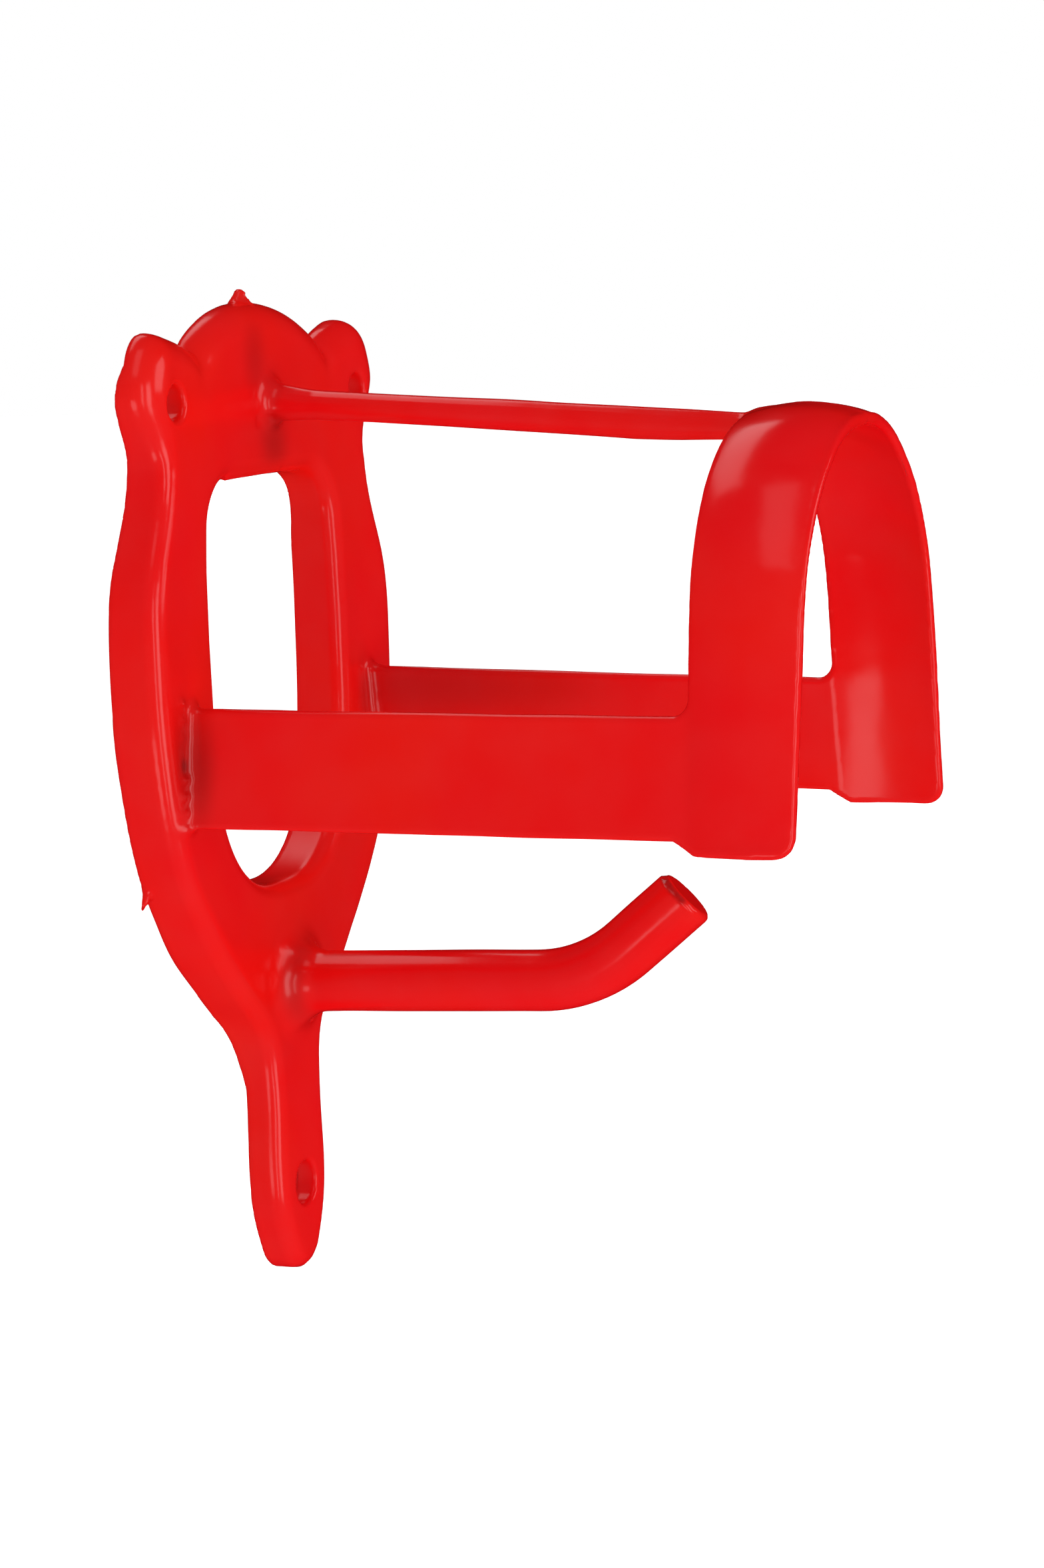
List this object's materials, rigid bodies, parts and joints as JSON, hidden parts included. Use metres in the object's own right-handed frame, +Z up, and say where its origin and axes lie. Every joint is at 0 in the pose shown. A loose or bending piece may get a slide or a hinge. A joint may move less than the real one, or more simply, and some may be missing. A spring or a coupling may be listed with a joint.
{
  "type": "bridle rack",
  "caption": "Wall-mounted bridle rack: a pressed plate with a window, an arched cradle on flat arms, a round stay and an upturned hook, all dipped in glossy vinyl.",
  "frame": {"origin": "the lowest point of the window's rear rim, where the plate touches the wall, on the centre line", "axes": "+X to the right seen from the room, +Y into the wall, +Z up"},
  "size_m": [0.1158, 0.1542, 0.222],
  "materials": {
    "sheet_steel": "bare mill finish under the coat",
    "bar_steel": "bare mill finish under the coat",
    "weld_metal": "as welded, under the coat",
    "red_vinyl": "glossy dipped skin"
  },
  "bodies": {
    "root": {"wall_plate": "sheet_steel", "cradle": "sheet_steel", "stay_rod": "bar_steel", "hook_rod": "bar_steel", "hook_weld": "weld_metal", "stay_weld": "weld_metal", "stay_end_weld": "weld_metal", "arm_weld_left_inner": "weld_metal", "arm_weld_left_outer": "weld_metal", "arm_weld_right_inner": "weld_metal", "arm_weld_right_outer": "weld_metal", "vinyl_coat": "red_vinyl"}
  },
  "joints": []
}
